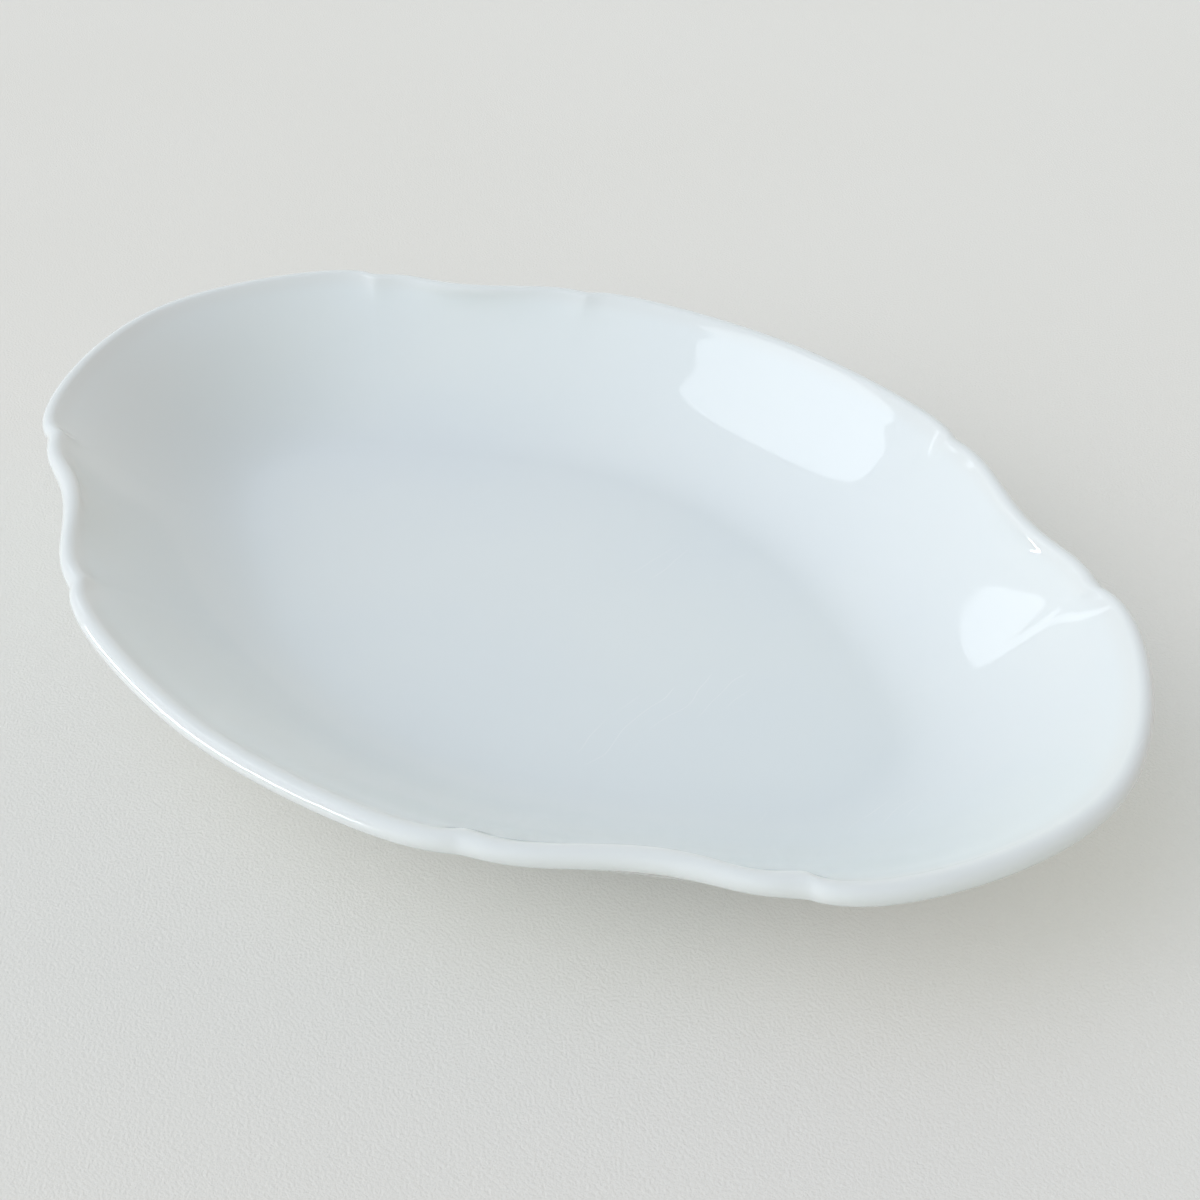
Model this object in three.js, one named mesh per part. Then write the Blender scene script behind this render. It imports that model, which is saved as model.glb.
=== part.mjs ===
// Oblong porcelain serving dish: a flat oval well, a smooth flared wall, and a rolled lip with lobes.
// The lip's plan has two mirror axes. Each quarter runs from half an end lobe, over a notch, along a
// hollow-backed bracket, over a second notch, to half a side lobe. The dish stands on an oval foot ring.
// Millimetres, +Z up, +X along the length. The origin is the middle of the plane that the foot stands on.
import * as THREE from 'three';

// Overall sizes
const LENGTH = 240;
const WIDTH = 164;
const SIDE_HEIGHT = 32; // top of the lip on the long sides, above the table
const END_LIFT = 1; // how much higher the lip runs at the two ends

// Thicknesses
const LIP_RADIUS = 2.1;
const WALL_THICKNESS = 3.6;
const FLOOR_THICKNESS = 4;

// Wall, measured in plan from the middle of the lip to the edge of the flat well
const END_WALL_RUN = 39;
const SIDE_WALL_RUN = 35.5;
const WALL_EASE = 2; // power with which the bend from the flat well eases out into the flare
const BEAD_WIDTH = 3; // plan width over which the wall thickens into the rolled lip

// Lobes: where their notches lie, and the pull of the curves that draw them
const END_LOBE_WIDTH = 86.8;
const END_NOTCH_INSET = 25.4;
const END_TIP_PULL = 20.5;
const END_SHOULDER_PULL = 7;
const END_SHOULDER_ANGLE = 26; // degrees from +X
const SIDE_LOBE_LENGTH = 95.2;
const SIDE_NOTCH_INSET = 10.7;
const SIDE_TIP_PULL = 20;
const SIDE_SHOULDER_PULL = 4.6;
const SIDE_SHOULDER_ANGLE = 90; // degrees from +X

// Brackets: two bumps with a hollow between them, set out from the straight line between the notches
const HOLLOW_DEPTH = 0.6;
const HOLLOW_SHIFT = 6.4; // towards the end lobe
const HOLLOW_TURN = 3.5; // degrees
const HOLLOW_END_PULL = 9;
const HOLLOW_SIDE_PULL = 12.6;
const END_BUMP_PULL = 9.8;
const END_BUMP_ANGLE = 16.6; // degrees outwards from the line between the notches
const SIDE_BUMP_PULL = 10;
const SIDE_BUMP_ANGLE = 25.6;

// Fading: below the lip the notches go first, then the lobes and brackets, and the rest of the wall is smooth
const LOBE_SPREAD = 4; // of the outline that is left when the notches are gone
const WALL_SPREAD = 24; // of the broad outline that the wall and the edge of the flat well follow
const NOTCH_LENGTH = 4; // plan length over which a notch fades
const LOBE_LENGTH = 12; // plan length over which the lobes fade on the inside of the wall
const UNDERSIDE_LOBE_LENGTH = 30; // and on its outside
const LOBE_EASE = 3; // power with which they fade
const NOTCH_UNDERSIDE = 0.25; // part of a notch that is left on the lip's underside
const NOTCH_FULL_SHARE = 0.35; // share of the way round the lip, from inside, that keeps the whole notch

// Foot ring
const FOOT_HEIGHT = 4.5;
const FOOT_INSET = 9; // from the well's oval to the foot's outer face
const FOOT_SEAT_WIDTH = 6;
const FOOT_TREAD_WIDTH = 2.6;
const FOOT_ROUNDING = 0.8;

// Facets
const END_LOBE_STEPS = 11;
const BRACKET_HALF_STEPS = 7;
const SIDE_LOBE_STEPS = 11;
const WALL_STEPS = 9;
const WALL_STEP_GRADE = 1.5; // power that crowds the wall's rings towards the lip
const LIP_STEPS = 8;
const NEAREST_POINT_STEPS = 12;

// Worked-out sizes
const endTip = LENGTH / 2 - LIP_RADIUS;
const sideTip = WIDTH / 2 - LIP_RADIUS;
const ovalHalfLength = endTip - END_WALL_RUN;
const ovalHalfWidth = sideTip - SIDE_WALL_RUN;
const floorMiddle = FOOT_HEIGHT + FLOOR_THICKNESS / 2;
const sideLipMiddle = SIDE_HEIGHT - LIP_RADIUS;

const radians = THREE.MathUtils.degToRad;
const mix = THREE.MathUtils.lerp;
const { smoothstep } = THREE.MathUtils;

/** A plan vector of a given length and angle. */
function polar(length, angle) {
  return new THREE.Vector2(Math.cos(angle), Math.sin(angle)).multiplyScalar(length);
}

/** Plan points of the lip's middle line in the first quarter, from the end tip to the side tip. */
function lipQuarter() {
  const endPoint = new THREE.Vector2(endTip, 0);
  const sidePoint = new THREE.Vector2(0, sideTip);
  const endNotch = new THREE.Vector2(endTip - END_NOTCH_INSET, END_LOBE_WIDTH / 2);
  const sideNotch = new THREE.Vector2(SIDE_LOBE_LENGTH / 2, sideTip - SIDE_NOTCH_INSET);
  const chord = endNotch.clone().sub(sideNotch);
  const chordAngle = chord.angle();
  const outwards = polar(1, chordAngle + Math.PI / 2);
  const hollow = sideNotch.clone().addScaledVector(chord, 1 / 2);
  hollow.add(polar(HOLLOW_SHIFT, chordAngle)).addScaledVector(outwards, -HOLLOW_DEPTH);
  const hollowAngle = chordAngle + radians(HOLLOW_TURN);
  const endBump = polar(END_BUMP_PULL, chordAngle + Math.PI - radians(END_BUMP_ANGLE));
  const sideBump = polar(SIDE_BUMP_PULL, chordAngle + radians(SIDE_BUMP_ANGLE));
  const endShoulder = polar(END_SHOULDER_PULL, radians(END_SHOULDER_ANGLE));
  const sideShoulder = polar(SIDE_SHOULDER_PULL, radians(SIDE_SHOULDER_ANGLE));

  const stretches = [
    [endPoint, new THREE.Vector2(0, END_TIP_PULL), endShoulder, endNotch, END_LOBE_STEPS],
    [endNotch, endBump, polar(HOLLOW_END_PULL, hollowAngle), hollow, BRACKET_HALF_STEPS],
    [hollow, polar(-HOLLOW_SIDE_PULL, hollowAngle), sideBump, sideNotch, BRACKET_HALF_STEPS],
    [sideNotch, sideShoulder, new THREE.Vector2(SIDE_TIP_PULL, 0), sidePoint, SIDE_LOBE_STEPS],
  ];
  const points = [endPoint];
  for (const [start, startPull, endPull, end, steps] of stretches) {
    const handles = [start.clone().add(startPull), end.clone().add(endPull)];
    const curve = new THREE.CubicBezierCurve(start, ...handles, end);
    points.push(...curve.getPoints(steps).slice(1));
  }
  return points;
}

/** Angle round the well's oval of the point nearest to a plan point outside it, by Newton's method. */
function nearestOvalAngle(point) {
  const focal = ovalHalfLength ** 2 - ovalHalfWidth ** 2;
  let angle = Math.atan2(point.y * ovalHalfLength, point.x * ovalHalfWidth);
  for (let step = 0; step < NEAREST_POINT_STEPS; step += 1) {
    const c = Math.cos(angle);
    const s = Math.sin(angle);
    const value = focal * s * c - ovalHalfLength * point.x * s + ovalHalfWidth * point.y * c;
    const slope = focal * (c * c - s * s) - ovalHalfLength * point.x * c - ovalHalfWidth * point.y * s;
    angle -= value / slope;
  }
  return angle;
}

/** A point on the well's oval at an angle round it, with the oval's outward direction there. */
function ovalPoint(angle) {
  return {
    foot: new THREE.Vector2(ovalHalfLength * Math.cos(angle), ovalHalfWidth * Math.sin(angle)),
    out: new THREE.Vector2(ovalHalfWidth * Math.cos(angle), ovalHalfLength * Math.sin(angle)).normalize(),
  };
}

/** All stations round the dish: foot on the well's oval, outward direction, and reach of the lip's middle. */
function lipStations() {
  const quarter = lipQuarter().map((point) => {
    const station = ovalPoint(nearestOvalAngle(point));
    const reach = point.distanceTo(station.foot);
    const endShare = (point.x / endTip) ** 2;
    const lipMiddle = sideLipMiddle + END_LIFT * endShare;
    const run = mix(SIDE_WALL_RUN, END_WALL_RUN, endShare);
    return { ...station, point, reach, lipMiddle, run };
  });
  const mirrored = (list, x, y) => {
    const flip = new THREE.Vector2(x, y);
    const turn = (vector) => vector.clone().multiply(flip);
    return list.map((s) => ({ ...s, foot: turn(s.foot), out: turn(s.out), point: turn(s.point) }));
  };
  const forwards = quarter.slice(0, -1);
  const backwards = quarter.slice(1).reverse();
  const stations = [
    ...mirrored(forwards, 1, 1),
    ...mirrored(backwards, -1, 1),
    ...mirrored(forwards, -1, -1),
    ...mirrored(backwards, 1, -1),
  ];
  const lobed = softened(stations, LOBE_SPREAD);
  const broad = softened(stations, WALL_SPREAD);
  return stations.map((station, i) => ({ ...station, lobedReach: lobed[i], broadReach: broad[i] }));
}

/** The lip's reach at each station, averaged over its neighbours along the lip with a bell-shaped weight. */
function softened(stations, width) {
  return stations.map((centre) => {
    let total = 0;
    let weights = 0;
    stations.forEach((other, index) => {
      const before = stations[(index + stations.length - 1) % stations.length].point;
      const after = stations[(index + 1) % stations.length].point;
      const spread = centre.point.distanceTo(other.point) / width;
      const weight = before.distanceTo(after) * Math.exp(-spread * spread / 2);
      total += other.reach * weight;
      weights += weight;
    });
    return total / weights;
  });
}

/** A point in a station's upright plane, by its distance out from the well's oval and its height. */
function place(station, distance, height) {
  const plan = station.foot.clone().addScaledVector(station.out, distance);
  return new THREE.Vector3(plan.x, plan.y, height);
}

/** The wall at a share of the way from the flat well to the lip: its middle, slope and thickness. */
function wallMiddle(station, share, lobeLength = LOBE_LENGTH) {
  const { run, reach, lobedReach, broadReach } = station;
  const along = run * share;
  const rise = station.lipMiddle - floorMiddle;
  const left = (1 - share) ** WALL_EASE;
  const risen = ((WALL_EASE + 1) * share - 1 + left * (1 - share)) / WALL_EASE;
  const steep = ((WALL_EASE + 1) / WALL_EASE) * (1 - left);
  const eased = (length) => smoothstep(along, run - length, run);
  const nearLip = Math.max(0, 1 - (run - along) / lobeLength);
  const lobe = (lobedReach - broadReach) * nearLip ** LOBE_EASE;
  return {
    distance: broadReach - run + along + lobe,
    notch: (reach - lobedReach) * eased(NOTCH_LENGTH),
    height: floorMiddle + rise * risen,
    slope: Math.atan((rise / run) * steep),
    thickness: mix(mix(FLOOR_THICKNESS, WALL_THICKNESS, share), 2 * LIP_RADIUS, eased(BEAD_WIDTH)),
  };
}

/** A ring on one face of the wall, inner (1) or outer (-1), at a step from the flat well to the lip. */
function wallRing(stations, step, face) {
  const share = 1 - (1 - step / WALL_STEPS) ** WALL_STEP_GRADE;
  const notchShare = face > 0 ? 1 : NOTCH_UNDERSIDE;
  const lobeLength = face > 0 ? LOBE_LENGTH : UNDERSIDE_LOBE_LENGTH;
  return stations.map((station) => {
    const { distance, notch, height, slope, thickness } = wallMiddle(station, share, lobeLength);
    const offset = (face * thickness) / 2;
    const reach = distance + notch * notchShare;
    return place(station, reach - offset * Math.sin(slope), height + offset * Math.cos(slope));
  });
}

/** A ring on the rounded lip, at a step between the wall's inner face and its outer face. */
function lipRing(stations, step) {
  const share = step / LIP_STEPS;
  const notchShare = mix(1, NOTCH_UNDERSIDE, smoothstep(share, NOTCH_FULL_SHARE, 1));
  return stations.map((station) => {
    const { distance, notch, height, slope } = wallMiddle(station, 1);
    const angle = slope + Math.PI * (1 / 2 - share);
    const reach = distance + notch * notchShare;
    return place(station, reach + LIP_RADIUS * Math.cos(angle), height + LIP_RADIUS * Math.sin(angle));
  });
}

/** A closed body from rings in order over the top, down the outside and in again underneath. */
function loft(rings, { poles = [], joined = false }) {
  const count = rings[0].length;
  const points = [...rings.flat(), ...poles];
  const index = [];
  const at = (ring, i) => (ring % rings.length) * count + (i % count);
  const last = joined ? rings.length : rings.length - 1;
  for (let ring = 0; ring < last; ring += 1) {
    for (let i = 0; i < count; i += 1) {
      index.push(at(ring, i), at(ring + 1, i), at(ring + 1, i + 1));
      index.push(at(ring, i), at(ring + 1, i + 1), at(ring, i + 1));
    }
  }
  const [topPole, bottomPole] = poles.map((_, i) => rings.length * count + i);
  for (let i = 0; i < count && poles.length; i += 1) {
    index.push(topPole, at(0, i), at(0, i + 1));
    index.push(bottomPole, at(rings.length - 1, i + 1), at(rings.length - 1, i));
  }
  const geometry = new THREE.BufferGeometry().setFromPoints(points);
  geometry.setIndex(index);
  geometry.computeVertexNormals();
  return geometry;
}

/** The dish: well, wall inside, lip, wall outside and the flat underside that the foot seats on. */
function dishBodyGeometry(stations) {
  const rings = [];
  for (let step = 0; step <= WALL_STEPS; step += 1) {
    rings.push(wallRing(stations, step, 1));
  }
  for (let step = 1; step < LIP_STEPS; step += 1) {
    rings.push(lipRing(stations, step));
  }
  for (let step = WALL_STEPS; step >= 0; step -= 1) {
    rings.push(wallRing(stations, step, -1));
  }
  const poles = [
    new THREE.Vector3(0, 0, FOOT_HEIGHT + FLOOR_THICKNESS),
    new THREE.Vector3(0, 0, FOOT_HEIGHT),
  ];
  return loft(rings, { poles });
}

/** The foot ring: a tapered section with rounded lower edges, run round inside the well's oval. */
function footRingGeometry(stations) {
  const taper = (FOOT_SEAT_WIDTH - FOOT_TREAD_WIDTH) / 2 - FOOT_ROUNDING;
  const outer = -FOOT_INSET;
  const inner = outer - FOOT_SEAT_WIDTH;
  const section = [
    [inner, FOOT_HEIGHT],
    [outer, FOOT_HEIGHT],
    [outer - taper, FOOT_ROUNDING],
    [outer - taper - FOOT_ROUNDING, 0],
    [inner + taper + FOOT_ROUNDING, 0],
    [inner + taper, FOOT_ROUNDING],
  ];
  const rings = section.map(([offset, height]) => stations.map((s) => place(s, offset, height)));
  return loft(rings, { joined: true });
}

/** A named mesh with its own material. */
function piece(name, geometry, material) {
  const mesh = new THREE.Mesh(geometry, new THREE.MeshStandardMaterial(material));
  mesh.name = name;
  return mesh;
}

const stations = lipStations();
const dish = new THREE.Group();
dish.name = 'oblong_serving_dish';
dish.add(piece('dish_body', dishBodyGeometry(stations), { color: 0xe9eef0, roughness: 0.1, metalness: 0 }));
dish.add(piece('foot_ring', footRingGeometry(stations), { color: 0xe2ddd2, roughness: 0.7, metalness: 0 }));

export default dish;
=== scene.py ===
"""Oblong porcelain serving dish: its visual model, a plain studio round it and the photograph's camera.

The dish follows one rule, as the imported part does. A rim path of cubic curves gives the lobes, brackets and
notches. Every station on the rim is paired with the nearest point of the well's oval, and the wall, lip and
underside are drawn in the upright plane between the two. Sizes are in millimetres, and meshes in metres.
"""
import logging
import math
from dataclasses import dataclass, field
from enum import Enum

import bpy
from mathutils import Matrix, Quaternion, Vector


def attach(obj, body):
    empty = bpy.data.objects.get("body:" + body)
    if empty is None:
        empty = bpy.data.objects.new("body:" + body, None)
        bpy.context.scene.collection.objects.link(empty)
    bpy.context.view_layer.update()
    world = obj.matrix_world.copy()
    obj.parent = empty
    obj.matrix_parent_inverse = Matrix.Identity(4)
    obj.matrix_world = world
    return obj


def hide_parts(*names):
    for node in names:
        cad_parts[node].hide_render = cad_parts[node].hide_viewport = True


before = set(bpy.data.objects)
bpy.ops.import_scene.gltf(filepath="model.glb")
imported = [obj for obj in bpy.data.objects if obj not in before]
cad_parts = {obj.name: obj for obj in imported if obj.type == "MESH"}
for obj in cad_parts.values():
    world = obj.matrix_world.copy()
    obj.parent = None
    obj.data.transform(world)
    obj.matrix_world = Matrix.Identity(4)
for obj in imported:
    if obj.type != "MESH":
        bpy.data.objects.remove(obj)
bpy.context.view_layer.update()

MM = 0.001
BODY = "root"
PHOTO_PIXELS = 1200
PASSES_PER_VARIANCE = 1.5
WALL_SHARE = "wall_share"
Colour = tuple[float, float, float]
Span = tuple[float, float]
CLOUDY: Span = (0.3, 0.7)

log = logging.getLogger("serving_dish")


class SocketKind(Enum):
    """Kinds of value that a Geometry Nodes tree takes in."""

    GEOMETRY = "NodeSocketGeometry"
    LENGTH = "NodeSocketFloat"
    COUNT = "NodeSocketInt"
    MATERIAL = "NodeSocketMaterial"


class Slot(Enum):
    """The record's material slots."""

    WHITE_GLAZE = "white_glaze"
    BARE_TREAD = "bare_tread"


class Field:
    """A number that a Geometry Nodes tree works out, written with Python's arithmetic."""

    def __init__(self, rule: "RuleTree", socket: bpy.types.NodeSocket) -> None:
        """Args:
            rule: the tree that the number belongs to.
            socket: the output that gives it.
        """
        self.rule = rule
        self.socket = socket

    def __add__(self, other: "Field | float") -> "Field":
        """This number plus another."""
        return self.rule.math("ADD", self, other)

    def __radd__(self, other: float) -> "Field":
        """A plain number plus this one."""
        return self.rule.math("ADD", other, self)

    def __sub__(self, other: "Field | float") -> "Field":
        """This number less another."""
        return self.rule.math("SUBTRACT", self, other)

    def __rsub__(self, other: float) -> "Field":
        """A plain number less this one."""
        return self.rule.math("SUBTRACT", other, self)

    def __mul__(self, other: "Field | float") -> "Field":
        """This number times another."""
        return self.rule.math("MULTIPLY", self, other)

    def __rmul__(self, other: float) -> "Field":
        """A plain number times this one."""
        return self.rule.math("MULTIPLY", other, self)

    def __truediv__(self, other: "Field | float") -> "Field":
        """This number over another."""
        return self.rule.math("DIVIDE", self, other)

    def __pow__(self, other: "Field | float") -> "Field":
        """This number to a power."""
        return self.rule.math("POWER", self, other)

    def at_least(self, low: "Field | float") -> "Field":
        """This number, or the given one where that is higher."""
        return self.rule.math("MAXIMUM", self, low)

    def at_most(self, high: "Field | float") -> "Field":
        """This number, or the given one where that is lower."""
        return self.rule.math("MINIMUM", self, high)

    def share(self) -> "Field":
        """This number kept between nought and one."""
        return self.at_least(0.0).at_most(1.0)

    def towards(self, other: "Field | float", part: "Field") -> "Field":
        """A blend from this number to another."""
        return self + (other - self) * part

    def eased(self) -> "Field":
        """A share from nought to one with a soft start and end."""
        return self * self * (3.0 - 2.0 * self)


class NodeBuilder:
    """A node tree under construction."""

    def __init__(self, tree: bpy.types.NodeTree) -> None:
        """Args:
            tree: the tree to build.
        """
        self.tree = tree

    def node(self, kind: str, inputs: dict | None = None, **settings: object) -> bpy.types.Node:
        """Adds a node.

        Args:
            kind: Blender's name for the node type.
            inputs: values or links, by socket name or place.
            settings: properties to set on the node.

        Returns:
            The new node.
        """
        made = self.tree.nodes.new(kind)
        for key, value in settings.items():
            setattr(made, key, value)
        for key, value in (inputs or {}).items():
            self.feed(made.inputs[key], value)
        return made

    def feed(self, socket: bpy.types.NodeSocket, value: object) -> None:
        """Links a field or socket to an input, or sets a plain value on it."""
        if isinstance(value, Field):
            value = value.socket
        if isinstance(value, bpy.types.NodeSocket):
            self.tree.links.new(value, socket)
        else:
            socket.default_value = value


class RuleTree(NodeBuilder):
    """A Geometry Nodes tree under construction, with named inputs for its sizes."""

    def __init__(self, name: str) -> None:
        """Args:
            name: the tree's name.
        """
        super().__init__(bpy.data.node_groups.new(name, "GeometryNodeTree"))
        self.source = self.tree.nodes.new("NodeGroupInput")
        self.identifiers: dict[str, str] = {}
        self.tree.interface.new_socket("Mesh", in_out="OUTPUT", socket_type=SocketKind.GEOMETRY.value)

    def take(self, name: str, kind: SocketKind) -> bpy.types.NodeSocket:
        """Adds a named input to the tree.

        Args:
            name: the input's name.
            kind: what it holds.

        Returns:
            The socket that gives the input's value inside the tree.
        """
        item = self.tree.interface.new_socket(name, in_out="INPUT", socket_type=kind.value)
        self.identifiers[name] = item.identifier
        return next(s for s in self.source.outputs if s.identifier == item.identifier)

    def number(self, name: str, kind: SocketKind = SocketKind.LENGTH) -> Field:
        """Adds a named input that holds a number, and gives it as a field."""
        return Field(self, self.take(name, kind))

    def math(self, operation: str, *values: "Field | float") -> Field:
        """Adds a Math node.

        Args:
            operation: Blender's name for the operation.
            values: one, two or three numbers.

        Returns:
            The result.
        """
        made = self.node("ShaderNodeMath", dict(enumerate(values)), operation=operation)
        return Field(self, made.outputs[0])

    def vector(self, operation: str, *values: object) -> bpy.types.NodeSocket:
        """Adds a Vector Math node.

        Args:
            operation: Blender's name for the operation.
            values: vectors, or a vector and a number for SCALE.

        Returns:
            The resulting vector.
        """
        made = self.node("ShaderNodeVectorMath", operation=operation)
        self.feed(made.inputs[0], values[0])
        if operation == "SCALE":
            self.feed(made.inputs["Scale"], values[1])
        elif len(values) > 1:
            self.feed(made.inputs[1], values[1])
        return made.outputs[0]

    def parts(self, vector: bpy.types.NodeSocket) -> tuple[Field, Field, Field]:
        """The three numbers of a vector."""
        split = self.node("ShaderNodeSeparateXYZ", {0: vector})
        return tuple(Field(self, socket) for socket in split.outputs)

    def joined(self, x: "Field | float", y: "Field | float", z: "Field | float") -> bpy.types.NodeSocket:
        """A vector of three numbers."""
        return self.node("ShaderNodeCombineXYZ", {0: x, 1: y, 2: z}).outputs[0]

    def position(self) -> bpy.types.NodeSocket:
        """Where each point lies."""
        return self.node("GeometryNodeInputPosition").outputs[0]

    def stored(
        self, geometry: bpy.types.NodeSocket, name: str, value: object, data: str
    ) -> bpy.types.NodeSocket:
        """Keeps a value on every point under a name.

        Args:
            geometry: what carries the points.
            name: the attribute's name.
            value: the field or vector to keep.
            data: FLOAT or FLOAT_VECTOR.

        Returns:
            The geometry with the attribute.
        """
        inputs = {"Geometry": geometry, "Name": name, "Value": value}
        keep = self.node("GeometryNodeStoreNamedAttribute", inputs, data_type=data, domain="POINT")
        return keep.outputs[0]

    def kept(self, name: str, data: str) -> bpy.types.NodeSocket:
        """A value that was stored under a name."""
        return self.node("GeometryNodeInputNamedAttribute", {"Name": name}, data_type=data).outputs[0]

    def finish(self, mesh: bpy.types.NodeSocket, material: bpy.types.NodeSocket) -> None:
        """Ends the tree with smooth shading, real geometry and the material.

        Args:
            mesh: the finished shape.
            material: the input that holds its material.
        """
        smooth = self.node("GeometryNodeSetShadeSmooth", {0: mesh, "Shade Smooth": True}).outputs[0]
        real = self.node("GeometryNodeRealizeInstances", {0: smooth}).outputs[0]
        dressed = self.node("GeometryNodeSetMaterial", {0: real, "Material": material}).outputs[0]
        target = self.tree.nodes.new("NodeGroupOutput")
        self.tree.links.new(dressed, target.inputs[0])

    def apply(self, path: bpy.types.Object, name: str, values: dict) -> bpy.types.Object:
        """Runs the tree on a path and keeps the result as a plain mesh.

        Args:
            path: the curve that the tree starts from, which is deleted afterwards.
            name: the finished piece's name.
            values: the tree's inputs, by name.

        Returns:
            A mesh object at the origin.
        """
        modifier = path.modifiers.new(name, "NODES")
        modifier.node_group = self.tree
        for key, value in values.items():
            modifier[self.identifiers[key]] = value
        graph = bpy.context.evaluated_depsgraph_get()
        mesh = bpy.data.meshes.new_from_object(path.evaluated_get(graph), depsgraph=graph)
        mesh.name = name
        material = next(value for value in values.values() if isinstance(value, bpy.types.Material))
        mesh.materials.clear()
        mesh.materials.append(material)
        mesh.polygons.foreach_set("material_index", [0] * len(mesh.polygons))
        path.modifiers.remove(modifier)
        bpy.data.objects.remove(path)
        piece = bpy.data.objects.new(name, mesh)
        bpy.context.scene.collection.objects.link(piece)
        return piece


@dataclass(frozen=True)
class Knot:
    """A point of the rim path with its two handles, in plan."""

    place: Vector
    before: Vector
    after: Vector

    def mirrored(self, x: int, y: int, turned: bool) -> "Knot":
        """The same knot in another quarter of the dish.

        Args:
            x: 1, or -1 to mirror along the length.
            y: 1, or -1 to mirror across the width.
            turned: whether the path passes the knot the other way.

        Returns:
            The mirrored knot.
        """
        flip = [Vector((v.x * x, v.y * y)) for v in (self.place, self.before, self.after)]
        return Knot(flip[0], flip[2], flip[1]) if turned else Knot(*flip)


def polar(length: float, degrees: float) -> Vector:
    """A plan vector of a given length and angle from +X."""
    angle = math.radians(degrees)
    return Vector((length * math.cos(angle), length * math.sin(angle)))


@dataclass
class RimPath:
    """The middle line of the lip: four lobes, four brackets with hollow backs, and eight notches."""

    half_length: float = 118.05
    half_width: float = 80.05
    end_lobe_width: float = 86.8
    end_notch_inset: float = 25.4
    end_tip_pull: float = 20.5
    end_shoulder_pull: float = 7.0
    end_shoulder_angle: float = 26.0
    side_lobe_length: float = 95.2
    side_notch_inset: float = 10.7
    side_tip_pull: float = 20.0
    side_shoulder_pull: float = 4.6
    side_shoulder_angle: float = 90.0
    hollow_depth: float = 0.6
    hollow_shift: float = 6.4
    hollow_turn: float = 3.5
    hollow_end_pull: float = 9.0
    hollow_side_pull: float = 12.6
    end_bump_pull: float = 9.8
    end_bump_angle: float = 16.6
    side_bump_pull: float = 10.0
    side_bump_angle: float = 25.6
    smoothness: int = 64

    def quarter(self) -> list[Knot]:
        """The knots from the end tip to the side tip in the first quarter."""
        end_tip = Vector((self.half_length, 0.0))
        side_tip = Vector((0.0, self.half_width))
        end_notch = Vector((self.half_length - self.end_notch_inset, self.end_lobe_width / 2))
        side_notch = Vector((self.side_lobe_length / 2, self.half_width - self.side_notch_inset))
        chord = end_notch - side_notch
        lie = math.degrees(math.atan2(chord.y, chord.x))
        middle = side_notch + chord / 2 + polar(self.hollow_shift, lie)
        hollow = middle - polar(self.hollow_depth, lie + 90)
        back = lie + self.hollow_turn
        end_pull = Vector((0.0, self.end_tip_pull))
        side_pull = Vector((self.side_tip_pull, 0.0))
        return [
            Knot(end_tip, end_tip - end_pull, end_tip + end_pull),
            Knot(
                end_notch,
                end_notch + polar(self.end_shoulder_pull, self.end_shoulder_angle),
                end_notch + polar(self.end_bump_pull, lie + 180 - self.end_bump_angle),
            ),
            Knot(
                hollow,
                hollow + polar(self.hollow_end_pull, back),
                hollow - polar(self.hollow_side_pull, back),
            ),
            Knot(
                side_notch,
                side_notch + polar(self.side_bump_pull, lie + self.side_bump_angle),
                side_notch + polar(self.side_shoulder_pull, self.side_shoulder_angle),
            ),
            Knot(side_tip, side_tip + side_pull, side_tip - side_pull),
        ]

    def knots(self) -> list[Knot]:
        """The knots of the whole path, anticlockwise from the +X tip."""
        quarter = self.quarter()
        forwards = quarter[:-1]
        backwards = quarter[:0:-1]
        return [
            *forwards,
            *(knot.mirrored(-1, 1, True) for knot in backwards),
            *(knot.mirrored(-1, -1, False) for knot in forwards),
            *(knot.mirrored(1, -1, True) for knot in backwards),
        ]

    def build(self, name: str) -> bpy.types.Object:
        """Draws the path as a closed curve in metres.

        Args:
            name: the curve's name.

        Returns:
            The curve object, linked to the scene.
        """
        data = bpy.data.curves.new(name, "CURVE")
        data.dimensions = "3D"
        data.resolution_u = self.smoothness
        spline = data.splines.new("BEZIER")
        knots = self.knots()
        spline.bezier_points.add(len(knots) - 1)
        spline.use_cyclic_u = True
        for point, knot in zip(spline.bezier_points, knots):
            point.handle_left_type = point.handle_right_type = "FREE"
            point.co = (knot.place * MM).to_3d()
            point.handle_left = (knot.before * MM).to_3d()
            point.handle_right = (knot.after * MM).to_3d()
        path = bpy.data.objects.new(name, data)
        bpy.context.scene.collection.objects.link(path)
        return path

    def length(self) -> float:
        """The path's length in millimetres, measured on a curve that is drawn for it and deleted."""
        path = self.build("rim_measure")
        measured = path.data.splines[0].calc_length()
        bpy.data.objects.remove(path)
        return measured / MM


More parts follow.
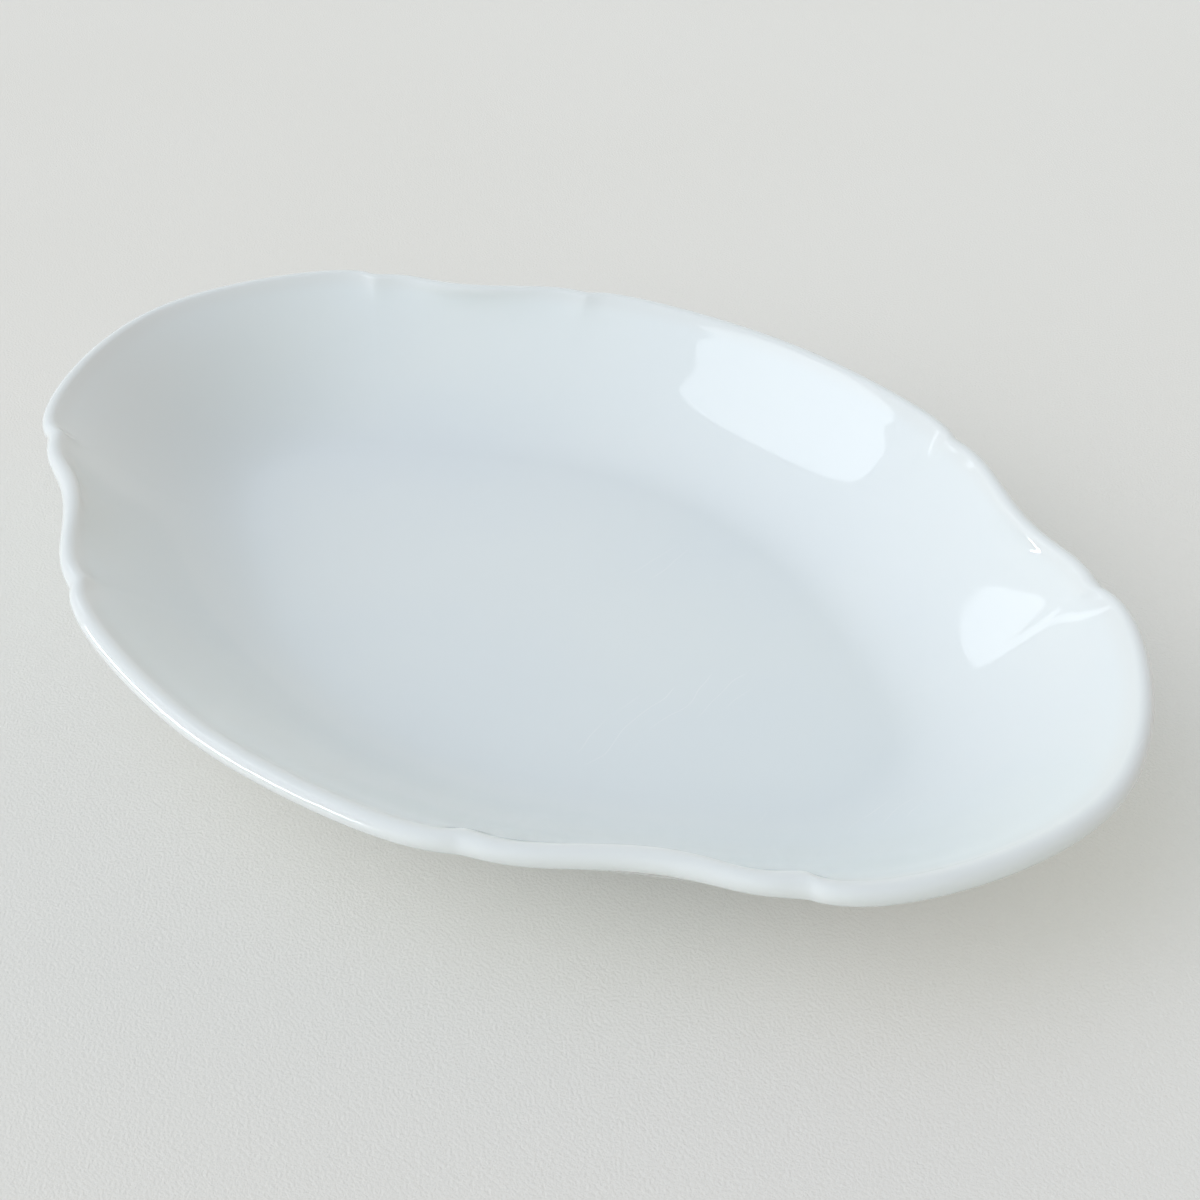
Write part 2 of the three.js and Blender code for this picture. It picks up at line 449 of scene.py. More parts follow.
@dataclass
class DishBody:
    """The dish in one casting: flat oval well, flared wall, lobed and rounded lip, and underside."""

    rim: RimPath = field(default_factory=RimPath)
    side_height: float = 32.0
    end_lift: float = 1.0
    lip_radius: float = 1.95
    wall_thickness: float = 3.6
    floor_thickness: float = 4.0
    underside_height: float = 4.5
    end_wall_run: float = 39.15
    side_wall_run: float = 35.65
    wall_ease: float = 2.0
    bead_width: float = 3.0
    lip_spread: float = 1.3
    lobe_spread: float = 4.0
    wall_spread: float = 24.0
    notch_length: float = 4.0
    lobe_length: float = 12.0
    underside_lobe_length: float = 30.0
    lobe_ease: float = 3.0
    notch_underside: float = 0.25
    notch_full_share: float = 0.35
    stations: int = 720
    oval_points: int = 2048
    floor_rows: int = 4
    wall_rows: int = 30
    lip_rows: int = 16
    weld_distance: float = 0.001
    name: str = "glazed_dish"

    @property
    def oval(self) -> tuple[float, float]:
        """Half length and half width of the well's oval."""
        return self.rim.half_length - self.end_wall_run, self.rim.half_width - self.side_wall_run

    def passes(self, spread: float) -> int:
        """How many averaging passes along the rim give a bell of a spread.

        Args:
            spread: the bell's standard deviation in millimetres.

        Returns:
            The number of passes of a three-point average, whose variance is two thirds of a step squared.
        """
        step = self.rim.length() / self.stations
        return round(PASSES_PER_VARIANCE * (spread / step) ** 2)

    def tree(self) -> RuleTree:
        """The rule that draws the dish from its rim path."""
        rule = RuleTree("dish_rule")
        path = rule.take("Rim", SocketKind.GEOMETRY)
        stations = rule.number("Stations", SocketKind.COUNT)
        loop = self.rim_stations(rule, path, stations)
        grid, column, shares = self.sheet(rule, stations)
        shaped = self.shape(rule, loop, grid, column, shares)
        inputs = {0: shaped, "Distance": self.weld_distance * MM}
        welded = rule.node("GeometryNodeMergeByDistance", inputs).outputs[0]
        outward = rule.node("GeometryNodeFlipFaces", {0: welded}).outputs[0]
        rule.finish(outward, rule.take("Glaze", SocketKind.MATERIAL))
        return rule

    def rim_stations(
        self, rule: RuleTree, path: bpy.types.NodeSocket, stations: Field
    ) -> bpy.types.NodeSocket:
        """Even stations on the rim, each with its foot on the well's oval and its reaches.

        Args:
            rule: the tree.
            path: the rim path.
            stations: how many stations there are.

        Returns:
            A loop of points with the stations' values stored on them.
        """
        inputs = {"Curve": path, "Count": stations}
        even = rule.node("GeometryNodeResampleCurve", inputs, mode="COUNT").outputs[0]
        loop = rule.node("GeometryNodeCurveToMesh", {"Curve": even}).outputs[0]
        half_length = rule.number("Oval Half Length")
        half_width = rule.number("Oval Half Width")
        inputs = {"Resolution": self.oval_points, "Radius": 1.0}
        circle = rule.node("GeometryNodeCurvePrimitiveCircle", inputs).outputs[0]
        inputs = {"Geometry": circle, "Scale": rule.joined(half_length, half_width, 1.0)}
        oval = rule.node("GeometryNodeTransform", inputs).outputs[0]
        edge = rule.node("GeometryNodeCurveToMesh", {"Curve": oval}).outputs[0]
        nearest = rule.node("GeometryNodeProximity", {0: edge}, target_element="EDGES")
        foot = nearest.outputs["Position"]
        out = rule.vector("NORMALIZE", rule.vector("SUBTRACT", rule.position(), foot))
        loop = rule.stored(loop, "out", out, "FLOAT_VECTOR")
        loop = rule.stored(loop, "reach", nearest.outputs["Distance"], "FLOAT")
        loop = rule.stored(loop, "foot", foot, "FLOAT_VECTOR")

        def softened(name: str) -> Field:
            """The reach, averaged along the rim over a number of passes that is a named input."""
            passes = rule.number(name, SocketKind.COUNT)
            inputs = {"Value": rule.kept("reach", "FLOAT"), "Iterations": passes}
            blurred = rule.node("GeometryNodeBlurAttribute", inputs, data_type="FLOAT")
            return Field(rule, blurred.outputs[0])

        along = rule.parts(rule.position())[0] / rule.number("Rim Half Length")
        end_share = along * along
        run = rule.number("Side Wall Run").towards(rule.number("End Wall Run"), end_share)
        lip = rule.number("Side Lip Height") + rule.number("End Lift") * end_share
        values = {
            "lip_reach": softened("Lip Passes"),
            "lobed_reach": softened("Lobe Passes"),
            "broad_reach": softened("Wall Passes"),
            "run": run,
            "lip_height": lip,
        }
        for name, value in values.items():
            loop = rule.stored(loop, name, value, "FLOAT")
        return loop

    def sheet(
        self, rule: RuleTree, stations: Field
    ) -> tuple[bpy.types.NodeSocket, Field, dict[str, Field]]:
        """A plain grid to bend into the dish, with a column for each station.

        Its rows run from the middle of the well, over the lip, to the middle of the underside.

        Args:
            rule: the tree.
            stations: how many columns go round the dish.

        Returns:
            The grid, each point's station, and its shares across the floor, up the wall and over the lip.
        """
        floor = rule.number("Floor Rows", SocketKind.COUNT)
        wall = rule.number("Wall Rows", SocketKind.COUNT)
        lip = rule.number("Lip Rows", SocketKind.COUNT)
        last = 2.0 * floor + 2.0 * wall + lip
        sizes = {
            "Size X": stations,
            "Size Y": last,
            "Vertices X": stations + 1.0,
            "Vertices Y": last + 1.0,
        }
        grid = rule.node("GeometryNodeMeshGrid", sizes).outputs["Mesh"]
        x, y, _ = rule.parts(rule.position())
        column = rule.math("FLOORED_MODULO", rule.math("ROUND", x + stations / 2.0), stations)
        row = rule.math("ROUND", y + last / 2.0)
        shares = {
            "floor": (row / floor).at_most((last - row) / floor).share(),
            "wall": ((row - floor) / wall).at_most((last - floor - row) / wall).share(),
            "lip": ((row - floor - wall) / lip).share(),
        }
        return grid, column, shares

    def shape(
        self,
        rule: RuleTree,
        loop: bpy.types.NodeSocket,
        grid: bpy.types.NodeSocket,
        column: Field,
        shares: dict[str, Field],
    ) -> bpy.types.NodeSocket:
        """Bends the grid into the dish.

        Args:
            rule: the tree.
            loop: the rim's stations.
            grid: the plain grid.
            column: the station of each grid point.
            shares: each grid point's shares across the floor, up the wall and over the lip.

        Returns:
            The dish's surface, with its seam and poles still open.
        """

        def station(name: str, data: str = "FLOAT") -> bpy.types.NodeSocket:
            """A station's value at each grid point."""
            inputs = {"Geometry": loop, "Value": rule.kept(name, data), "Index": column}
            return rule.node("GeometryNodeSampleIndex", inputs, data_type=data, domain="POINT").outputs[0]

        names = ("lip_reach", "lobed_reach", "broad_reach", "run", "lip_height")
        reach, lobed, broad, run, lip_height = (Field(rule, station(name)) for name in names)
        ease = rule.number("Wall Ease")
        floor_middle = rule.number("Floor Middle")
        lip_radius = rule.number("Lip Radius")
        along = run * shares["wall"]

        def near_lip(length: Field) -> Field:
            """A share that grows to one at the lip, over a length in plan."""
            return ((along - run) / length + 1.0).share()

        rise = lip_height - floor_middle
        left = (1.0 - shares["wall"]) ** ease
        steep = (ease + 1.0) / ease * (1.0 - left)
        risen = ((ease + 1.0) * shares["wall"] - 1.0 + left * (1.0 - shares["wall"])) / ease
        plain = rule.number("Floor Thickness").towards(rule.number("Wall Thickness"), shares["wall"])
        half = (plain / 2.0).towards(lip_radius, near_lip(rule.number("Bead Width")).eased())
        slope = rule.math("ARCTANGENT", rise / run * steep)
        angle = slope + math.pi * (0.5 - shares["lip"])
        full = rule.number("Notch Full Share")
        under = ((shares["lip"] - full) / (1.0 - full)).share().eased()
        whole = 1.0 + (rule.number("Notch Underside") - 1.0) * under
        notch = (reach - lobed) * near_lip(rule.number("Notch Length")).eased() * whole
        fade = rule.number("Lobe Length").towards(rule.number("Underside Lobe Length"), shares["lip"])
        lobe = (lobed - broad) * near_lip(fade) ** rule.number("Lobe Ease")
        distance = broad - run + along + lobe + notch + half * rule.math("COSINE", angle)
        height = floor_middle + rise * risen + half * rule.math("SINE", angle)
        outward = rule.vector("SCALE", station("out", "FLOAT_VECTOR"), distance)
        plan = rule.vector("ADD", station("foot", "FLOAT_VECTOR"), outward)
        x, y, _ = rule.parts(rule.vector("SCALE", plan, shares["floor"]))
        named = rule.stored(grid, WALL_SHARE, shares["wall"], "FLOAT")
        inputs = {"Geometry": named, "Position": rule.joined(x, y, height)}
        return rule.node("GeometryNodeSetPosition", inputs).outputs[0]

    def inputs(self, glaze: bpy.types.Material) -> dict:
        """The rule's named inputs, in metres.

        Args:
            glaze: the dish's material.

        Returns:
            Values by input name.
        """
        lengths = {
            "Oval Half Length": self.oval[0],
            "Oval Half Width": self.oval[1],
            "Rim Half Length": self.rim.half_length,
            "Side Wall Run": self.side_wall_run,
            "End Wall Run": self.end_wall_run,
            "Side Lip Height": self.side_height - self.lip_radius,
            "End Lift": self.end_lift,
            "Bead Width": self.bead_width,
            "Floor Middle": self.underside_height + self.floor_thickness / 2,
            "Floor Thickness": self.floor_thickness,
            "Wall Thickness": self.wall_thickness,
            "Lip Radius": self.lip_radius,
            "Notch Length": self.notch_length,
            "Lobe Length": self.lobe_length,
            "Underside Lobe Length": self.underside_lobe_length,
        }
        return {name: size * MM for name, size in lengths.items()} | {
            "Stations": self.stations,
            "Lip Passes": self.passes(self.lip_spread),
            "Lobe Passes": self.passes(self.lobe_spread),
            "Wall Passes": self.passes(self.wall_spread),
            "Floor Rows": self.floor_rows,
            "Wall Rows": self.wall_rows,
            "Lip Rows": self.lip_rows,
            "Wall Ease": self.wall_ease,
            "Lobe Ease": self.lobe_ease,
            "Notch Underside": self.notch_underside,
            "Notch Full Share": self.notch_full_share,
            "Glaze": glaze,
        }

    def build(self, glaze: bpy.types.Material) -> bpy.types.Object:
        """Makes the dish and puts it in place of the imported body.

        Args:
            glaze: the dish's material.

        Returns:
            The finished piece.
        """
        piece = self.tree().apply(self.rim.build("rim_path"), self.name, self.inputs(glaze))
        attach(piece, BODY)
        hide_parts("dish_body")
        return piece


@dataclass
class FootRing:
    """The oval ring that the dish stands on: glazed flanks and a bare tread with rounded edges."""

    oval: tuple[float, float]
    height: float = 4.5
    inset: float = 9.0
    seat_width: float = 6.0
    tread_width: float = 2.6
    rounding: float = 0.8
    corner_points: int = 8
    path_points: int = 360
    name: str = "standing_ring"

    def section(self) -> list[Vector]:
        """The ring's section: distance out from the middle of the ring, and height above the table."""
        half_seat = self.seat_width / 2
        half_tread = self.tread_width / 2
        knee = Vector((half_tread + self.rounding, self.rounding))
        flank = Vector((half_seat, self.height)) - knee
        toe = Vector((half_tread, 0.0))
        corner = knee - flank * (knee.y / flank.y)
        right = [Vector((half_seat, self.height))]
        for step in range(self.corner_points + 1):
            t = step / self.corner_points
            right.append(knee * (1 - t) ** 2 + corner * (2 * t * (1 - t)) + toe * t**2)
        left = [Vector((-point.x, point.y)) for point in reversed(right)]
        return right + left

    def build_section(self) -> bpy.types.Object:
        """Draws the section as a closed curve in metres.

        Its height lies along -Y, which the sweep turns upright.

        Returns:
            The curve object, linked to the scene.
        """
        points = self.section()
        data = bpy.data.curves.new("foot_section", "CURVE")
        data.dimensions = "3D"
        spline = data.splines.new("POLY")
        spline.points.add(len(points) - 1)
        spline.use_cyclic_u = True
        for target, point in zip(spline.points, points):
            target.co = (point.x * MM, -point.y * MM, 0.0, 1.0)
        drawn = bpy.data.objects.new("foot_section", data)
        bpy.context.scene.collection.objects.link(drawn)
        return drawn

    def tree(self) -> RuleTree:
        """The rule that sweeps the section round inside the well's oval."""
        rule = RuleTree("foot_rule")
        section = rule.take("Section", SocketKind.GEOMETRY)
        half_length = rule.number("Oval Half Length")
        half_width = rule.number("Oval Half Width")
        points = rule.number("Path Points", SocketKind.COUNT)
        circle = rule.node("GeometryNodeCurvePrimitiveCircle", {"Resolution": points, "Radius": 1.0})
        c, s, _ = rule.parts(rule.position())
        out = rule.vector("NORMALIZE", rule.joined(half_width * c, half_length * s, 0.0))
        back = rule.vector("SCALE", out, rule.number("Offset"))
        place = rule.vector("ADD", rule.joined(half_length * c, half_width * s, 0.0), back)
        path = rule.node("GeometryNodeSetPosition", {0: circle.outputs[0], "Position": place}).outputs[0]
        upright = rule.node("GeometryNodeSetCurveNormal", {0: path}, mode="Z_UP").outputs[0]
        inputs = {"Curve": upright, "Profile Curve": section}
        swept = rule.node("GeometryNodeCurveToMesh", inputs).outputs[0]
        rule.finish(swept, rule.take("Finish", SocketKind.MATERIAL))
        return rule

    def build(self, finish: bpy.types.Material) -> bpy.types.Object:
        """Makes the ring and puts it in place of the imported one.

        Args:
            finish: the ring's material.

        Returns:
            The finished piece.
        """
        values = {
            "Oval Half Length": self.oval[0] * MM,
            "Oval Half Width": self.oval[1] * MM,
            "Offset": -(self.inset + self.seat_width / 2) * MM,
            "Path Points": self.path_points,
            "Finish": finish,
        }
        piece = self.tree().apply(self.build_section(), self.name, values)
        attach(piece, BODY)
        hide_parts("foot_ring")
        return piece


class Shader(NodeBuilder):
    """A material or world node tree under construction."""

    def __init__(self, tree: bpy.types.NodeTree) -> None:
        """Args:
            tree: the node tree to build, which is emptied first.
        """
        super().__init__(tree)
        tree.nodes.clear()

    def place(self) -> bpy.types.NodeSocket:
        """Object coordinates."""
        return self.node("ShaderNodeTexCoord").outputs["Object"]

    def noise(self, scale: float, detail: float) -> bpy.types.NodeSocket:
        """Cloudy noise on Object coordinates, from nought to one.

        Args:
            scale: clouds per metre.
            detail: octaves.

        Returns:
            The noise's value.
        """
        inputs = {"Vector": self.place(), "Scale": scale, "Detail": detail}
        return self.node("ShaderNodeTexNoise", inputs).outputs[0]

    def ramp(
        self, value: bpy.types.NodeSocket, span: Span, result: Span = (0.0, 1.0)
    ) -> bpy.types.NodeSocket:
        """Maps a span of a value softly to another, held at both ends.

        Args:
            value: what is mapped.
            span: where the span starts and ends.
            result: what its start and end are mapped to.

        Returns:
            The mapped value.
        """
        names = ("From Min", "From Max", "To Min", "To Max")
        inputs = {"Value": value} | dict(zip(names, (*span, *result)))
        return self.node("ShaderNodeMapRange", inputs, interpolation_type="SMOOTHSTEP").outputs[0]

    def mixed(self, part: bpy.types.NodeSocket, first: object, second: object) -> bpy.types.NodeSocket:
        """A colour between two, each a colour or a socket."""
        made = self.node("ShaderNodeMix", {0: part}, data_type="RGBA")
        sockets = [socket for socket in made.inputs if socket.type == "RGBA"]
        for socket, value in zip(sockets, (first, second)):
            self.feed(socket, (*value, 1.0) if isinstance(value, tuple) else value)
        return next(socket for socket in made.outputs if socket.type == "RGBA")

    def sums(self, operation: str, first: object, second: object) -> bpy.types.NodeSocket:
        """A Math node on two numbers or sockets."""
        return self.node("ShaderNodeMath", {0: first, 1: second}, operation=operation).outputs[0]

    def seen(self) -> bpy.types.NodeSocket:
        """One for rays that the eye, a reflection or clear glass looks along, and nought for light."""
        ray = self.node("ShaderNodeLightPath").outputs
        looked = ray["Is Camera Ray"]
        for kind in ("Is Glossy Ray", "Is Transmission Ray"):
            looked = self.sums("MAXIMUM", looked, ray[kind])
        return looked

    def attribute(self, name: str) -> bpy.types.NodeSocket:
        """A number stored on the mesh."""
        return self.node("ShaderNodeAttribute", attribute_name=name).outputs["Fac"]

    def bump(
        self, height: bpy.types.NodeSocket, distance: float, under: bpy.types.NodeSocket | None = None
    ) -> bpy.types.NodeSocket:
        """A bumped normal.

        Args:
            height: the relief, from nought to one.
            distance: how high one stands, in metres.
            under: a bumped normal to stand on.

        Returns:
            The normal.
        """
        inputs = {"Height": height, "Strength": 1.0, "Distance": distance}
        if under is not None:
            inputs["Normal"] = under
        return self.node("ShaderNodeBump", inputs).outputs[0]


def new_material(name: str) -> tuple[bpy.types.Material, Shader]:
    """An empty node material and its shader."""
    material = bpy.data.materials.new(name)
    material.use_nodes = True
    return material, Shader(material.node_tree)


@dataclass(frozen=True)
class WhiteGlaze:
    """Clear glossy glaze over white porcelain.

    It is a little bluer where it pools. The lip is greyer in colour: painted shade, since the lip catches
    more light than the well.
    """

    body: Colour = (0.705, 0.752, 0.752)
    pooled: Colour = (0.690, 0.742, 0.752)
    # Painted shade: a greyer colour for the lip, which catches more light than the well.
    painted_lip_shade: Colour = (0.680, 0.714, 0.710)
    # Scratch colour, lighter than the body: real hairline flaws with a painted glint on them.
    scratch_and_glint: Colour = (0.790, 0.815, 0.815)
    pools_per_metre: float = 16.0
    pool_span: Span = (0.35, 0.68)
    lip_shade_span: Span = (0.93, 1.0)
    lip_shade_share: float = 0.8
    roughness: float = 0.03
    polish_patches_per_metre: float = 140.0
    polish_span: Span = (0.3, 0.75)
    polish_swing: Span = (-0.01, 0.015)
    waves_per_metre: float = 45.0
    wave_height: float = 0.00002
    grain_per_metre: float = 1400.0
    grain_height: float = 0.0000012
    ior: float = 1.5
    scratches_per_metre: float = 90.0
    scratch_bend: float = 5.0
    scratch_crest: float = 0.992
    scratch_glint_strength: float = 0.5
    scratch_patches_per_metre: float = 38.0
    scratch_patch_span: Span = (0.70, 0.73)
    bleed: float = 0.4
    bleed_depth: float = 0.0015

    def material(self) -> bpy.types.Material:
        """Builds the glaze.

        Returns:
            The material.
        """
        material, shader = new_material("porcelain_glaze")
        pools = shader.ramp(shader.noise(self.pools_per_metre, detail=3.0), self.pool_span)
        colour = shader.mixed(pools, self.body, self.pooled)
        # Painted shade: the colour greys towards the lip.
        lip = shader.ramp(shader.attribute(WALL_SHARE), self.lip_shade_span, (0.0, self.lip_shade_share))
        colour = shader.mixed(lip, colour, self.painted_lip_shade)
        # Hairline scratches painted lighter: real flaws with a painted glint on them.
        colour = shader.mixed(self.scratches_and_glints(shader), colour, self.scratch_and_glint)
        patches = shader.noise(self.polish_patches_per_metre, detail=4.0)
        rough = tuple(self.roughness + swing for swing in self.polish_swing)
        polish = shader.ramp(patches, self.polish_span, rough)
        waves = shader.bump(shader.noise(self.waves_per_metre, detail=1.0), self.wave_height)
        grain = shader.bump(shader.noise(self.grain_per_metre, detail=2.0), self.grain_height, waves)
        inputs = {
            "Base Color": colour,
            "Roughness": polish,
            "Normal": grain,
            "IOR": self.ior,
            "Subsurface Weight": self.bleed,
            "Subsurface Radius": (1.0, 1.0, 1.0),
            "Subsurface Scale": self.bleed_depth,
        }
        surface = shader.node("ShaderNodeBsdfPrincipled", inputs)
        shader.node("ShaderNodeOutputMaterial", {"Surface": surface.outputs[0]})
        return material

    def scratches_and_glints(self, shader: Shader) -> bpy.types.NodeSocket:
        """Where a few short hairline scratches lie, painted lighter as their glint.

        Args:
            shader: the glaze's shader.

        Returns:
            A share from nought to about a half, on the scratches and their painted glints.
        """
        inputs = {
            "Vector": shader.place(),
            "Scale": self.scratches_per_metre,
            "Distortion": self.scratch_bend,
            "Detail": 1.0,
        }
        lines = shader.node("ShaderNodeTexWave", inputs).outputs["Fac"]
        crest = shader.ramp(lines, (self.scratch_crest, 1.0), (0.0, self.scratch_glint_strength))
        patches = shader.noise(self.scratch_patches_per_metre, detail=1.0)
        patch = shader.ramp(patches, self.scratch_patch_span)
        return shader.sums("MULTIPLY", crest, patch)


@dataclass(frozen=True)
class FootFinish:
    """Glazed flanks that end in a wiped line just above the bare, finely ground tread."""

    glaze: Colour = (0.690, 0.757, 0.780)
    bare: Colour = (0.620, 0.580, 0.510)
    glaze_line: float = 0.0010
    line_softness: float = 0.0001
    line_wander: float = 0.0003
    wanders_per_metre: float = 220.0
    glaze_roughness: float = 0.08
    bare_roughness: float = 0.72
    speckles_per_metre: float = 900.0
    speckle_span: Span = (0.55, 0.75)
    speckle_share: float = 0.5
    speckle_tone: float = 0.8
    grit_per_metre: float = 3200.0
    grit_height: float = 0.00003

    def material(self) -> bpy.types.Material:
        """Builds the foot's finish.

        Returns:
            The material.
        """
        material, shader = new_material("foot_finish")
        height = shader.node("ShaderNodeSeparateXYZ", {0: shader.place()}).outputs["Z"]
        swing = (-self.line_wander, self.line_wander)
        wander = shader.ramp(shader.noise(self.wanders_per_metre, detail=3.0), CLOUDY, swing)
        above = shader.sums("ADD", height, wander)
        line = (self.glaze_line - self.line_softness, self.glaze_line + self.line_softness)
        glazed = shader.ramp(above, line)
        speckles = shader.noise(self.speckles_per_metre, detail=4.0)
        speckle = shader.ramp(speckles, self.speckle_span, (0.0, self.speckle_share))
        bare = shader.mixed(speckle, self.bare, tuple(self.speckle_tone * part for part in self.bare))
        colour = shader.mixed(glazed, bare, self.glaze)
        rough = shader.ramp(glazed, (0.0, 1.0), (self.bare_roughness, self.glaze_roughness))
        unglazed = shader.sums("SUBTRACT", 1.0, glazed)
        grit = shader.sums("MULTIPLY", shader.noise(self.grit_per_metre, detail=4.0), unglazed)
        normal = shader.bump(grit, self.grit_height)
        inputs = {"Base Color": colour, "Roughness": rough, "Normal": normal}
        surface = shader.node("ShaderNodeBsdfPrincipled", inputs)
        shader.node("ShaderNodeOutputMaterial", {"Surface": surface.outputs[0]})
        return material


@dataclass(frozen=True)
class PaleBoard:
    """The matt, finely grained pale board that the dish stands on.

    A share of what is seen of it is its plain tone.
    """

    colour: Colour = (0.735, 0.728, 0.690)
    shade: Colour = (0.722, 0.714, 0.672)
    clouds_per_metre: float = 5.0
    roughness: float = 0.75
    grain_per_metre: float = 1800.0
    grain_height: float = 0.00016
    plain_tone: Colour = (0.695, 0.705, 0.685)
    plain_share: float = 0.25

    def material(self) -> bpy.types.Material:
        """Builds the board's finish.

        Returns:
            The material.
        """
        material, shader = new_material("pale_board")
        cloud = shader.ramp(shader.noise(self.clouds_per_metre, detail=2.0), CLOUDY)
        colour = shader.mixed(cloud, self.colour, self.shade)
        normal = shader.bump(shader.noise(self.grain_per_metre, detail=3.0), self.grain_height)
        inputs = {"Base Color": colour, "Roughness": self.roughness, "Normal": normal}
        surface = shader.node("ShaderNodeBsdfPrincipled", inputs).outputs[0]
        share = shader.sums("MULTIPLY", shader.seen(), self.plain_share)
        tone = {"Color": (*self.plain_tone, 1.0), "Strength": 1.0}
        plain = shader.node("ShaderNodeEmission", tone).outputs[0]
        shown = shader.node("ShaderNodeMixShader", {0: share, 1: surface, 2: plain}).outputs[0]
        shader.node("ShaderNodeOutputMaterial", {"Surface": shown})
        return material


def towards(azimuth: float, elevation: float) -> Vector:
    """A direction by its angle round from +X and its angle above the table, in degrees."""
    turn = math.radians(azimuth)
    rise = math.radians(elevation)
    return Vector((math.cos(rise) * math.cos(turn), math.cos(rise) * math.sin(turn), math.sin(rise)))


@dataclass
class WindowLamp:
    """An oval lamp that shows only as a clean reflection in the glaze. The room gives the light."""

    name: str
    azimuth: float
    elevation: float
    width: float
    height: float
    radiance: float
    roll: float = 0.0
    distance: float = 1.2
    colour: Colour = (0.86, 0.93, 1.0)

    def build(self) -> bpy.types.Object:
        """Hangs the lamp, facing the dish.

        Returns:
            The lamp object.
        """
        data = bpy.data.lights.new(self.name, "AREA")
        data.shape = "ELLIPSE"
        data.size = self.width
        data.size_y = self.height
        area = math.pi / 4 * self.width * self.height
        data.energy = self.radiance * math.pi * area
        data.color = self.colour
        lamp = bpy.data.objects.new(self.name, data)
        lamp.visible_diffuse = False
        way = towards(self.azimuth, self.elevation)
        roll = Quaternion((0, 0, 1), math.radians(self.roll))
        lamp.location = way * self.distance
        lamp.rotation_mode = "QUATERNION"
        lamp.rotation_quaternion = (-way).to_track_quat("-Z", "Y") @ roll
        bpy.context.scene.collection.objects.link(lamp)
        return lamp


@dataclass(frozen=True)
class SkyGlow:
    """A soft patch of light in the room, brightest in one direction."""

    azimuth: float
    elevation: float
    colour: Colour
    focus: float = 8.0


@dataclass
class RoomLight:
    """Soft light from all round. What the eye and the glaze see of the room is a plain pale backdrop."""

    even: Colour = (0.468, 0.498, 0.498)
    backdrop: Colour = (0.86, 0.88, 0.88)
    glows: tuple[SkyGlow, ...] = (
        SkyGlow(-120.0, 32.0, (2.8, 2.7, 2.8)),
        SkyGlow(-150.0, 60.0, (0.15, 0.25, 0.60)),
        SkyGlow(-45.0, 32.0, (0.42, 0.42, 0.32)),
        SkyGlow(-80.0, 8.0, (0.90, 0.85, 0.75), focus=20.0),
        SkyGlow(-180.0, 8.0, (1.9, 1.6, 0.8), focus=20.0),
        SkyGlow(60.0, 8.0, (1.7, 0.5, 0.1), focus=20.0),
        SkyGlow(120.0, 8.0, (2.6, 2.9, 2.4), focus=20.0),
        SkyGlow(110.0, 32.0, (0.18, 0.20, 0.20)),
    )

    def glow(self, shader: Shader, way: bpy.types.NodeSocket, glow: SkyGlow) -> bpy.types.NodeSocket:
        """One patch's light in each direction.

        Args:
            shader: the world's shader.
            way: the direction that is looked in.
            glow: the patch.

        Returns:
            Its colour there.
        """
        inputs = {0: way, 1: towards(glow.azimuth, glow.elevation)}
        facing = shader.node("ShaderNodeVectorMath", inputs, operation="DOT_PRODUCT").outputs["Value"]
        part = shader.sums("POWER", shader.sums("MAXIMUM", facing, 0.0), glow.focus)
        scaled = shader.node("ShaderNodeVectorMath", {0: glow.colour, "Scale": part}, operation="SCALE")
        return scaled.outputs[0]

    def build(self) -> bpy.types.World:
        """Lights the world.

        Returns:
            The world.
        """
        world = bpy.data.worlds.new("room_light")
        world.use_nodes = True
        shader = Shader(world.node_tree)
        way = shader.node("ShaderNodeTexCoord").outputs["Generated"]
        light = self.even
        for glow in self.glows:
            inputs = {0: light, 1: self.glow(shader, way, glow)}
            light = shader.node("ShaderNodeVectorMath", inputs, operation="ADD").outputs[0]
        sky = shader.node("ShaderNodeBackground", {"Color": light, "Strength": 1.0}).outputs[0]
        plain = {"Color": (*self.backdrop, 1.0), "Strength": 1.0}
        wall = shader.node("ShaderNodeBackground", plain).outputs[0]
        shown = shader.node("ShaderNodeMixShader", {0: shader.seen(), 1: sky, 2: wall}).outputs[0]
        shader.node("ShaderNodeOutputWorld", {"Surface": shown})
        bpy.context.scene.world = world
        return world


@dataclass
class TableTop:
    """The plain pale floor under the dish."""

    side: float = 5.0
    drop: float = 0.00005

    def build(self, finish: bpy.types.Material) -> bpy.types.Object:
        """Lays the floor just under the tread.

        Args:
            finish: the floor's material.

        Returns:
            The floor object.
        """
        half = self.side / 2
        corners = [(x * half, y * half, -self.drop) for x, y in ((-1, -1), (1, -1), (1, 1), (-1, 1))]
        mesh = bpy.data.meshes.new("table_top")
        mesh.from_pydata(corners, [], [(0, 1, 2, 3)])
        mesh.materials.append(finish)
        floor = bpy.data.objects.new("table_top", mesh)
        bpy.context.scene.collection.objects.link(floor)
        return floor


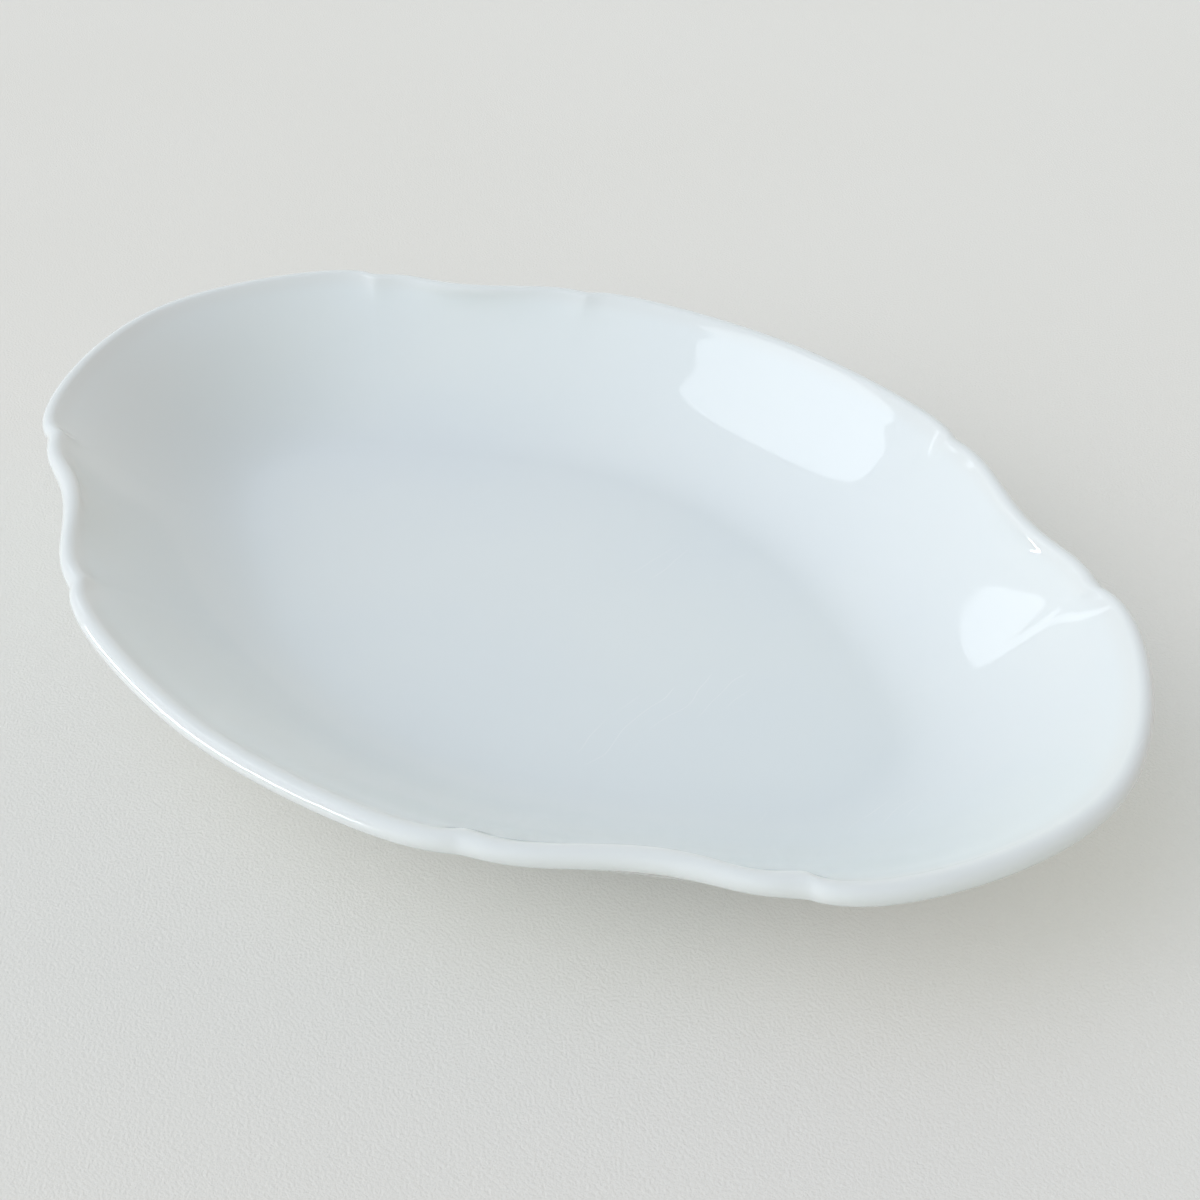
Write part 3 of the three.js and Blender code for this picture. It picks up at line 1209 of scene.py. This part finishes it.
@dataclass
class PhotoCamera:
    """The photograph's camera, as fitted to the dish's outline."""

    place: tuple[float, float, float] = (172.3, -178.63, 206.8)
    right: tuple[float, float, float] = (0.75772, 0.65245, -0.01269)
    down: tuple[float, float, float] = (0.39997, -0.47968, -0.78098)
    focal_pixels: float = 1596.1
    sensor: float = 36.0
    clip_start: float = 0.01

    def build(self) -> bpy.types.Object:
        """Sets the camera up and makes it the scene's own.

        Returns:
            The camera object.
        """
        data = bpy.data.cameras.new("photo_camera")
        data.sensor_width = self.sensor
        data.lens = self.focal_pixels / PHOTO_PIXELS * self.sensor
        data.clip_start = self.clip_start
        camera = bpy.data.objects.new("photo_camera", data)
        right = Vector(self.right).normalized()
        up = -Vector(self.down).normalized()
        back = right.cross(up).normalized()
        turn = Matrix((right, back.cross(right), back)).transposed()
        camera.matrix_world = Matrix.Translation(Vector(self.place) * MM) @ turn.to_4x4()
        bpy.context.scene.collection.objects.link(camera)
        bpy.context.scene.camera = camera
        return camera


@dataclass
class Studio:
    """Camera, floor and light."""

    camera: PhotoCamera = field(default_factory=PhotoCamera)
    floor: TableTop = field(default_factory=TableTop)
    board: PaleBoard = field(default_factory=PaleBoard)
    room: RoomLight = field(default_factory=RoomLight)
    windows: tuple[WindowLamp, ...] = (
        WindowLamp(
            "tall_window", azimuth=-148.5, elevation=49.2, width=0.56, height=0.15, radiance=2.1, roll=37.0
        ),
        WindowLamp(
            "low_window", azimuth=-178.7, elevation=32.9, width=0.235, height=0.13, radiance=1.9, roll=-45.0
        ),
        WindowLamp("sill_strip", azimuth=-126.0, elevation=5.0, width=1.3, height=0.11, radiance=45.0),
    )

    def build(self) -> None:
        """Sets up the camera, the floor and the lamps."""
        self.camera.build()
        self.floor.build(self.board.material())
        self.room.build()
        for window in self.windows:
            window.build()
        bpy.context.scene.view_settings.view_transform = "Standard"


def report(piece: bpy.types.Object) -> None:
    """Logs a piece's name and mesh size."""
    triangles = sum(len(face.vertices) - 2 for face in piece.data.polygons)
    log.info("%s: %d points, %d triangles", piece.name, len(piece.data.vertices), triangles)


def main() -> None:
    """Builds the studio and the dish, piece by piece."""
    logging.basicConfig(level=logging.INFO, format="%(name)s: %(message)s")
    Studio().build()
    body = DishBody()
    report(body.build(WhiteGlaze().material()))
    report(FootRing(body.oval).build(FootFinish().material()))


if __name__ == "__main__":
    main()
